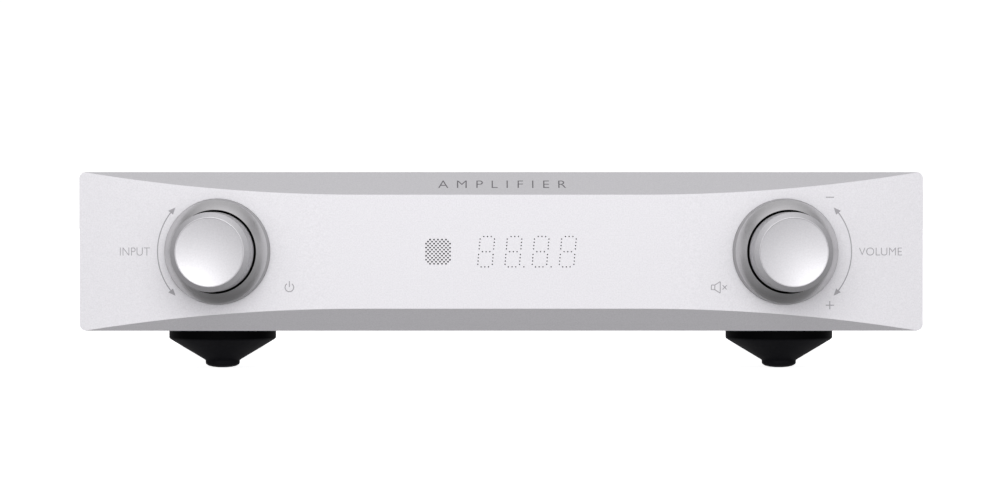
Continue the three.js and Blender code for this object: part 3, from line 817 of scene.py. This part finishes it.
def make_front_marks():
    mark("input_turn_arrow", arrow_arc(-1))
    mark("volume_turn_arrow", arrow_arc(1))
    mark("power_mark", power_mark(-58.8, -9.9))
    mark("mute_mark", mute_mark(60.4, -9.9))
    mark("volume_less_mark", stroke([(90.1, 15.1), (92.4, 15.1)], 0.28))
    plus = stroke([(90.1, -14.9), (92.4, -14.9)], 0.28) + stroke([(91.25, -13.75), (91.25, -16.05)], 0.28)
    mark("volume_more_mark", plus)
    lettering("input_label", "INPUT", (-101.9, 0), 2.25, 8.4, weight=-0.012)
    lettering("volume_label", "VOLUME", (105.5, 0), 2.2, 12.1, weight=-0.012)
    title = {"surface": on_top_bevel, "weight": -0.012, "look": "engraved", "spacing": 1.9}
    lettering("generic_title", "AMPLIFIER", (0.2, -0.35), 2.9, 35.5, **title)


make_front_marks()

# ---- knobs and bezels


def bezel_profile():
    """From the seat up a slightly crowned cone to the mouth, and down the bore to the floor."""
    slope = quadratic((14.35, 2.8), (13.2, 4.75), (11.65, 6.2), 16)
    mouth = [(11.5, 6.15), (11.5, 1.3), (5.0, 1.3), (5.0, -0.55)]
    return [(14.7, -0.55), (14.7, 0.1), (14.47, 2.5)] + slope + mouth


# A black cup inside the bezel, open in the middle for the bush: a dark sheet with no sheen in the gap round the
# knob, as painted shade.
GAP_SHADE_CUP = [(5.2, 1.33), (11.55, 1.33), (11.6, 6.23), (11.45, 6.2), (11.4, 1.45), (5.2, 1.45)]


def knob_profile():
    """A straight skirt, a bevel, a fine bright lip and a dished face, with a hollow back."""
    dish, face = 1.0, 9.3
    bowl = [(face * (1 - i / 14), 15.88 - dish * (1 - (1 - i / 14) ** 2)) for i in range(15)]
    skirt = [(8.2, 2.4), (10.85, 2.4), (11.0, 2.55), (11.0, 14.6), (10.95, 14.75)]
    lip = [(9.68, 15.84), (9.56, 15.96), (9.44, 15.98), (9.36, 15.94)]
    hub = [(0, 11.8), (3.15, 11.8), (3.15, 5.4), (8.2, 5.4)]
    return hub + skirt + lip + bowl


def make_control(name):
    bezel = revolve(f"{name}_bezel_ring", bezel_profile(), 160, *control_axis(name))
    finish_piece(bezel, "bezel", "turned_aluminium", [f"{name}_bezel"])
    # The black cup in the bezel's bore, as painted shade in the gap round the knob.
    gap_shade_cup = revolve(f"{name}_bezel_gap_shade", GAP_SHADE_CUP, 160, *control_axis(name))
    finish_piece(gap_shade_cup, "gap_shade_cup", "turned_aluminium")
    knob = revolve(f"{name}_knob_turned", knob_profile(), 160, *control_axis(name))
    finish_piece(knob, "knob", "knob_aluminium", [f"{name}_knob"], f"{name}_control")


for control_name in ("input", "volume"):
    make_control(control_name)

# ---- feet


def make_foot(node):
    low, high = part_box(node)
    centre = ((low.x + high.x) / 2, (low.y + high.y) / 2, 0)
    top = (high.z - low.z) / MM
    tip = [(0, 0), (1.4, 0.02), (2.8, 0.18), (3.9, 0.45), (4.6, 0.85), (4.85, 1.2), (4.9, 2.05)]
    cone = [(5.3, 2.35), (14.3, 7.75), (15.0, 8.2), (15.25, 8.55)]
    flange = [(15.25, top - 0.3), (14.9, top), (0, top)]
    foot = revolve(f"{node}_cone", tip + cone + flange, 96, centre)
    finish_piece(foot, "rubber", "foot_rubber", [node])


for node_name in sorted(frame["nodes"]):
    if node_name.startswith("foot_"):
        make_foot(node_name)

# ---- case, refined from the frame's own shapes


def refined(node, width):
    """A node's own shape with its flat faces joined up and its edges rounded."""
    source = frame["nodes"][node]
    mesh = source.data.copy()
    mesh.transform(source.matrix_world)
    thing = link(f"{node}_shell", mesh)
    tidy = bmesh.new()
    tidy.from_mesh(mesh)
    bmesh.ops.remove_doubles(tidy, verts=tidy.verts, dist=0.001 * MM)
    bmesh.ops.dissolve_limit(tidy, angle_limit=math.radians(1), verts=tidy.verts, edges=tidy.edges)
    tidy.to_mesh(mesh)
    tidy.free()
    bevel(thing, width, 2, 28)
    finish_piece(thing, LOOK_OF_SLOT[SLOT_OF[node]], SLOT_OF[node], [node], BODY_OF[node])


def screw_heads(name, places, axis, radius):
    """Pan heads with a cross recess, with their radius in millimetres."""
    rise = 0.42 * radius
    profile = [(0, -0.3 * rise), (radius, -0.3 * rise), (radius, 0.3 * rise)]
    profile += [(0.86 * radius, 0.76 * rise), (0.5 * radius, 0.96 * rise), (0, rise)]
    arm, slot, floor = 0.52 * radius * MM, 0.13 * radius * MM, 0.35 * rise * MM
    for i, centre in enumerate(places):
        head = revolve(f"{name}_{i + 1}", rounded_profile(profile, 0.2), 40)
        for x, y in ((arm, slot), (slot, arm)):
            boolean(head, block("recess", (-x, x), (-y, y), (floor, 2 * rise * MM)))
        finish_piece(place(head, centre, axis), "steel", "steel")


SHEET = 1.5 * MM
VENTS = {"xs": spread(-96, -36, 11) + spread(36, 96, 11), "ys": (-30 * MM, 14 * MM), "width": 2.4 * MM}


def make_cover():
    low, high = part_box("top_cover")
    outline = rounded_rectangle(low.x, high.x, low.z - 10 * MM, high.z, 2 * MM)
    cover = prism("top_cover_shell", outline, "Y", low.y, high.y)
    inner = rounded_rectangle(low.x + SHEET, high.x - SHEET, low.z - 12 * MM, high.z - SHEET, 0.8 * MM)
    boolean(cover, prism("inner", inner, "Y", low.y - MARGIN, high.y + MARGIN))
    all_x, all_y = (low.x - MARGIN, high.x + MARGIN), (low.y - MARGIN, high.y + MARGIN)
    boolean(cover, block("below", all_x, all_y, (low.z - 14 * MM, low.z)))
    slots = [
        prism("slot", stadium(x * MM, *VENTS["ys"], VENTS["width"]), "Z", high.z - 2 * SHEET, high.z + MARGIN)
        for x in VENTS["xs"]
    ]
    boolean(cover, merged("slots", slots))
    bevel(cover, 0.25 * MM, 2, 40)
    finish_piece(cover, "case", "anodised_aluminium", ["top_cover"])
    for side, x, out in (("left", low.x, -1), ("right", high.x, 1)):
        places = [(x, y * MM, low.z + 7 * MM) for y in (-92, -4, 84)]
        screw_heads(f"cover_screw_{side}", places, (out, 0, 0), 2.6)


make_cover()

# ---- rear sockets and terminals, turned from profiles of (radius, distance behind the rear panel)


def turned_behind(name, profile, segments, x, z, *finish):
    """A turned piece along +Y behind the rear panel."""
    finish_piece(revolve(name, profile, segments, (x, REAR_FACE, z), (0, 1, 0)), *finish)


def fluted(thing, ribs, depth, low, high):
    """Presses ribs into a turned piece between two heights, fading at both ends."""
    fading = 0.8 * MM
    for vertex in thing.data.vertices:
        here = vertex.co
        radius = math.hypot(here.x, here.y)
        if radius < 3.4 * MM or not low < here.z < high:
            continue
        fade = min(1, (here.z - low) / fading, (high - here.z) / fading)
        ripple = 0.5 - 0.5 * math.cos(ribs * math.atan2(here.y, here.x))
        share = 1 - depth * fade * ripple / radius
        here.x *= share
        here.y *= share


WASHER = [(2.95, 3.2), (6.0, 3.2), (6.1, 3.3), (6.1, 4.5), (6.0, 4.6), (2.95, 4.6)]
GRIP_FOOT = [(2.95, 4.8), (6.2, 4.8), (6.45, 5.0), (6.45, 6.0), (6.2, 6.25)]
GRIP_BARREL = [(6.15, 6.6 + 0.4 * i) for i in range(19)]  # many rings, for the ribs to follow
GRIP_HEAD = [(6.3, 14.2), (6.45, 14.4), (6.45, 15.6), (6.3, 15.8), (3.6, 15.8), (3.6, 16.6), (2.95, 16.6)]
CAP_END = [(3.65, 15.9), (6.0, 15.9), (6.1, 16.1), (6.1, 19.9), (5.3, 20.9), (4.9, 21.9), (4.6, 21.9)]
CAP_END += [(4.2, 21.5), (2.35, 21.5), (2.05, 21.2), (2.05, 16.9), (3.65, 16.9)]
CAP_LINER = [(1.75, 17.0), (2.04, 17.0), (2.04, 21.1), (1.75, 21.1)]


def make_terminal(name, x, colour):
    """A loudspeaker terminal: hexagonal flange, clamping washer, ribbed cap with a gilt end."""
    refined(f"speaker_{name}_post", 0.3 * MM)
    washer, cap, cap_body = f"speaker_{name}_washer", f"speaker_{name}_cap", f"{name}_cap"
    finish = ("gold", "gilt_brass", [washer], f"{name}_clamp")
    turned_behind(f"{name}_washer_turned", WASHER, 72, x, AXIS_Z, *finish)
    profile = GRIP_FOOT + GRIP_BARREL + GRIP_HEAD
    grip = revolve(f"{name}_grip", profile, 192, (x, REAR_FACE, AXIS_Z), (0, 1, 0))
    fluted(grip, 24, 0.55 * MM, 6.4 * MM, 14.1 * MM)
    slot = SLOT_OF[cap]
    finish_piece(grip, colour, slot, [cap], cap_body)
    turned_behind(f"{name}_end", CAP_END, 72, x, AXIS_Z, "gold", slot, (), cap_body)
    turned_behind(f"{name}_end_liner", CAP_LINER, 40, x, AXIS_Z, "satin_black", slot, (), cap_body)


POST_X = [101, 82, 63, 44]
for terminal, post_x in zip(("right_plus", "right_minus", "left_plus", "left_minus"), POST_X):
    make_terminal(terminal, post_x * MM, "red" if terminal.endswith("plus") else "satin_black")

PHONO_PARTS = (  # name, profile, segments and look; a look of None is the socket's own colour
    ("barrel", [(3.55, -1.6), (4.15, -1.6), (4.15, 8.9), (3.95, 9.4), (3.65, 9.4), (3.55, 9.2)], 72, "gold"),
    ("insulator", [(1.95, -1.6), (3.53, -1.6), (3.53, 8.3), (2.6, 8.6), (1.95, 8.6)], 60, None),
    ("contact", [(1.65, -1.6), (1.93, -1.6), (1.93, 8.5), (1.65, 8.5)], 40, "gold"),
    ("depth", [(0, -1.6), (1.63, -1.6), (1.63, -0.9), (0, -0.9)], 32, "satin_black"),
    ("collar", [(4.2, -1.4), (5.25, -1.4), (5.25, 0.8), (5.05, 1.0), (4.3, 1.0), (4.2, 0.9)], 72, None),
)
ROWS = {"upper": 41.5 * MM, "lower": 24.5 * MM}
PHONO_COLOURS = {
    "line_input_1": (-22, {"upper": "white", "lower": "red"}),
    "line_input_2": (-38, {"upper": "white", "lower": "red"}),
    "subwoofer_output": (-6, {"upper": "satin_black"}),
    "coaxial_input": (-6, {"lower": "sleeve"}),
}


def make_phono_blocks():
    """Gilt barrels round insulators with a round contact, in coloured collars."""
    for node, (x, rows) in PHONO_COLOURS.items():
        low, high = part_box(node)
        housing = block(f"{node}_housing", (low.x, high.x), (low.y, REAR_FACE - 1.62 * MM), (low.z, high.z))
        bevel(housing, 0.4 * MM)
        finish_piece(housing, "black", SLOT_OF[node], [node])
        for row, colour in rows.items():
            for part, profile, segments, look in PHONO_PARTS:
                name, finish = f"{node}_{row}_{part}", (look or colour, "black_plastic")
                turned_behind(name, profile, segments, x * MM, ROWS[row], *finish)


make_phono_blocks()

for node_name in sorted(set(frame["nodes"]) - STOOD_IN_FOR):
    refined(node_name, 0.3 * MM if SLOT_OF[node_name] == "black_plastic" else EDGE)

# ---- marks and screws behind


def rocker_surface(heel, toe):
    """A face of the rocker between two points of (y, z) in millimetres, as a surface for marks."""
    middle = (Vector(heel) + Vector(toe)) / 2
    along = (Vector(toe) - Vector(heel)).normalized()
    out = Vector((abs(along.y), -along.x if along.y > 0 else along.x))
    pivot = JOINTS["power_rocker_tilt"]["pos_m"]

    def on_rocker(u, w, lift):
        spot = (middle + (along if along.y > 0 else -along) * w + out * lift) * MM
        return (pivot[0] - u * MM, pivot[1] + spot.x, pivot[2] + spot.y)

    return on_rocker


def make_rocker_marks():
    valley = (4.741, -0.751)
    marks = {
        "rocker_on_mark": stroke([(0, -1.3), (0, 1.3)], 0.4, rocker_surface(valley, (7.115, 6.568))),
        "rocker_off_mark": stroke(arc(0, 0, 1.25, 0, 360, 28), 0.36, rocker_surface(valley, (4.738, -8.444))),
    }
    for name, plates in marks.items():
        finish_piece(merged(name, plates), "white", "black_plastic", (), "rocker")


FRAMES = {  # left, right, bottom and top of the lines round groups of sockets
    "line_frame": (13.5, 46.5, -17.6, 19.0),
    "single_frame": (-2.2, 12.3, -17.6, 19.0),
    "digital_frame": (-33.9, -3.4, -17.6, 19.0),
    "speaker_frame": (-106.8, -38.9, -12.6, 16.0),
}
REAR_LABELS = {  # letter or number, and the middle of it
    "line_1_label": ("1", 22, 16.2),
    "line_2_label": ("2", 38, 16.2),
    "single_3_label": ("3", 6, 16.2),
    "single_4_label": ("4", 6, -15.9),
    "optical_1_label": ("5", -11, 16.9),
    "optical_2_label": ("6", -11, -16.2),
    "data_label": ("7", -27, 15.9),
    "left_line_label": ("L", 30, 8.1),
    "right_line_label": ("R", 30, -8.9),
    "right_speaker_label": ("R", -91.5, 12.6),
    "left_speaker_label": ("L", -53.5, 12.6),
}


def make_rear_marks():
    for name, (u0, u1, z0, z1) in FRAMES.items():
        mark(name, stroke([(u0, z0), (u1, z0), (u1, z1), (u0, z1), (u0, z0)], 0.25, on_rear), "dark_ink")
    sign, width, z = 1.2, 0.36, 12.6
    for i, x in enumerate(POST_X):
        plates = stroke([(-x - sign, z), (-x + sign, z)], width, on_rear)
        if i % 2 == 0:
            plates += stroke([(-x, z - sign), (-x, z + sign)], width, on_rear)
        mark(f"polarity_mark_{i + 1}", plates, "dark_ink")
    for name, (letter, *middle) in REAR_LABELS.items():
        lettering(name, letter, middle, 2.1, 0.34 if letter == "1" else 1.6, on_rear, look="dark_ink")


def make_rear_screws():
    corners = [(x, z) for x in (-109.5, 109.5) for z in (16.5, 48.5)]
    middles = [(-71.2, 16.5), (-71.2, 48.5), (-30, 33), (36.4, 48.5), (36.4, 16.5)]
    screw_heads("rear_screw", [(x * MM, REAR_FACE, z * MM) for x, z in corners + middles], (0, 1, 0), 2.0)


def make_floor_screws():
    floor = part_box("bottom_tray")[0].z
    places = [(-104, 0), (-18, 0), (-104, 46), (-18, 46), (6, -90), (48, -90), (6, 12), (62, 12), (104, 12)]
    places += [(-40, 62), (-64, -56), (-104, 108), (104, 108), (0, 108)]
    screw_heads("floor_screw", [(x * MM, y * MM, floor) for x, y in places], (0, 0, -1), 2.2)


make_rear_marks()
make_rear_screws()
make_rocker_marks()
make_floor_screws()

# ---- parts inside, laid out in millimetres

BOARD_TOP = 21.5 * MM


def cable(name, points, radius, look):
    """A round wire through a line of points."""
    curve = bpy.data.curves.new(name, "CURVE")
    curve.dimensions = "3D"
    curve.bevel_depth = radius * MM
    curve.bevel_resolution = 3
    curve.use_fill_caps = True
    spline = curve.splines.new("BEZIER")
    spline.bezier_points.add(len(points) - 1)
    for knot, point in zip(spline.bezier_points, points):
        knot.co = Vector(point) * MM
        knot.handle_left_type = knot.handle_right_type = "AUTO"
    finish_piece(link(name, mesh_of_curve(curve)), look, "black_plastic")


def standing_can(name, x, y, radius, height):
    """An electrolytic capacitor on a board, with a crimped neck and a scored metal top."""
    can = [(0, 0), (radius, 0), (radius, 0.9), (radius - 0.25, 1.2), (radius, 1.5), (radius, height - 0.5)]
    can += [(radius - 0.35, height), (radius - 0.6, height - 0.15), (0, height - 0.15)]
    centre = (x * MM, y * MM, BOARD_TOP + 0.05 * MM)
    finish_piece(revolve(name, can, 40, centre), "sleeve", "capacitor_sleeve")
    low, high, edge = height - 0.14, height + 0.02, radius - 0.75
    lid = [(0, low), (edge, low), (edge, high), (0, high)]
    finish_piece(revolve(f"{name}_top", lid, 40, centre), "steel", "steel")


CHIP_SIZES = ((2.0, 1.2, 0.6), (3.2, 1.6, 0.8), (4.8, 3.9, 1.5))
CHIP_PICKS = (0, 1, None, 0, 2, 1, None, 1)  # sizes in turn, with gaps between them


def chip_field(name, xs, ys, columns, rows):
    """Small surface-mounted parts in loose rows, in three sizes."""
    parts = []
    for row in range(rows):
        for column in range(columns):
            pick = CHIP_PICKS[(7 * row + 5 * column) % len(CHIP_PICKS)]
            if pick is None:
                continue
            width, depth, height = CHIP_SIZES[pick]
            if (row + column) % 3 == 0:
                width, depth = depth, width
            x = xs[0] + (xs[1] - xs[0]) * (column + 0.5) / columns
            y = ys[0] + (ys[1] - ys[0]) * (row + 0.5) / rows
            x_span = ((x - width / 2) * MM, (x + width / 2) * MM)
            y_span = ((y - depth / 2) * MM, (y + depth / 2) * MM)
            parts.append(block("part", x_span, y_span, (BOARD_TOP, BOARD_TOP + height * MM)))
    finish_piece(merged(name, parts), "black", "black_plastic")


PACKAGES = {  # parts that stand on the boards: x and y spans, height and look
    "signal_chip": ((-24, -8), (66, 82), 2.2, "black"),
    "converter_shield": ((14, 34), (64, 84), 2.6, "steel"),
    "relay_row": ((56, 104), (62, 72), 9, "sleeve"),
    "mains_terminal": ((-106, -96), (4, 26), 14, "satin_black"),
    "mains_filter": ((-34, -16), (30, 46), 12, "white"),
}
MODULES = {"left": 29, "right": 84}  # centre lines of the amplifier modules
for module, centre_x in MODULES.items():
    PACKAGES[f"{module}_coil"] = ((centre_x - 18, centre_x + 18), (-60, -34), 16, "black")
    PACKAGES[f"{module}_driver_1"] = ((centre_x - 18, centre_x - 6), (-86, -70), 18, "satin_black")
    PACKAGES[f"{module}_driver_2"] = ((centre_x + 6, centre_x + 18), (-86, -70), 18, "satin_black")


def make_packages():
    """Moulded or metal skins over the boards' taller parts."""
    skin = 0.08 * MM
    for name, (xs, ys, height, look) in PACKAGES.items():
        spans = [(low * MM - skin, high * MM + skin) for low, high in (xs, ys)]
        part = block(name, *spans, (BOARD_TOP + 0.02 * MM, BOARD_TOP + height * MM + skin))
        finish_piece(bevel(part, 0.35 * MM), look, "black_plastic")


def make_board_parts():
    for side, x in MODULES.items():
        for i, offset in enumerate((-18, -9, 0, 9, 18)):
            standing_can(f"module_{side}_can_{i + 1}", x + offset, -24, 3.1, 11)
        for i, offset in enumerate((-16, 16)):
            standing_can(f"module_{side}_tall_can_{i + 1}", x + offset, 4, 5, 16)
        chip_field(f"module_{side}_chips", (x - 10, x + 10), (-16, 14), 5, 7)
        chip_field(f"module_{side}_front_chips", (x - 5, x + 5), (-92, -64), 2, 8)
    chip_field("main_board_chips", (-6, 12), (58, 100), 4, 9)
    chip_field("main_board_side_chips", (-44, -26), (58, 100), 4, 9)
    chip_field("power_board_chips", (-38, -16), (-4, 26), 5, 6)
    for i, x in enumerate((40, 47)):
        standing_can(f"main_board_can_{i + 1}", x, 74, 2.6, 9)
    for i, x in enumerate((60, 68, 76, 84, 92, 100)):
        standing_can(f"output_can_{i + 1}", x, 82, 3.0, 10)


WIRES = {
    "secondary_wire_1": ([(-44, -24, 38), (-38, -14, 40), (-34, -4, 30), (-30, 4, 22)], "red"),
    "secondary_wire_2": ([(-47, -23, 36), (-42, -12, 38), (-38, -3, 29), (-34, 5, 22)], "sleeve"),
    "primary_wire_1": ([(-84, -22, 38), (-92, -12, 40), (-98, -4, 34), (-102, 2, 22)], "white"),
    "primary_wire_2": ([(-80, -22, 36), (-87, -11, 37), (-92, -3, 31), (-94, 3, 22)], "black"),
    "mains_wire_1": ([(-96, 98, 40), (-100, 82, 38), (-103, 58, 34), (-101, 32, 22)], "black"),
    "mains_wire_2": ([(-84, 98, 40), (-86, 80, 36), (-90, 60, 32), (-92, 44, 22)], "white"),
    "speaker_wire_1": ([(101, 104, 33), (102, 97, 36), (101, 88, 32), (100, 74, 31)], "red"),
    "speaker_wire_2": ([(82, 104, 33), (83, 97, 36), (82, 88, 32), (81, 74, 31)], "black"),
    "speaker_wire_3": ([(63, 104, 33), (64, 97, 36), (63, 88, 32), (62, 74, 31)], "red"),
    "speaker_wire_4": ([(44, 104, 33), (47, 97, 36), (54, 88, 32), (58, 74, 31)], "black"),
}
# The ribbon's way, as (y, z), from the main board forward and up to the display board.
RIBBON = ((60, 20.5), (50, 17), (20, 14.8), (-60, 14.8), (-90, 15), (-100, 18), (-104.6, 25), (-105.5, 32))


def make_wires():
    """Loose wires between the parts, and a ribbon of side-by-side cores."""
    for name, (points, look) in WIRES.items():
        cable(name, points, 1.1, look)
    for i in range(8):
        core = [(-8 + 1.15 * i, y, z) for y, z in RIBBON]
        cable(f"ribbon_core_{i + 1}", core, 0.55, "white" if i else "red")


FUSE = {  # where each piece starts and ends behind the amplifier's middle, its radius and its look
    "glass": (109.4, 114.4, 1.9, "lens"),
    "cap_1": (107.2, 109.5, 2.1, "nickel"),
    "cap_2": (114.3, 116.6, 2.1, "nickel"),
}


def make_fuse():
    low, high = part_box("fuse_drawer")
    centre = ((low.x + high.x) / 2, 0, low.z + 4.9 * MM)
    for name, (start, end, radius, look) in FUSE.items():
        profile = rounded_profile([(0, start), (radius, start), (radius, end), (0, end)], 0.2)
        tube = revolve(f"fuse_{name}", profile, 32, centre, (0, 1, 0))
        finish_piece(tube, look, "steel", (), "fuse_carrier")


make_packages()
make_board_parts()
make_wires()
make_fuse()
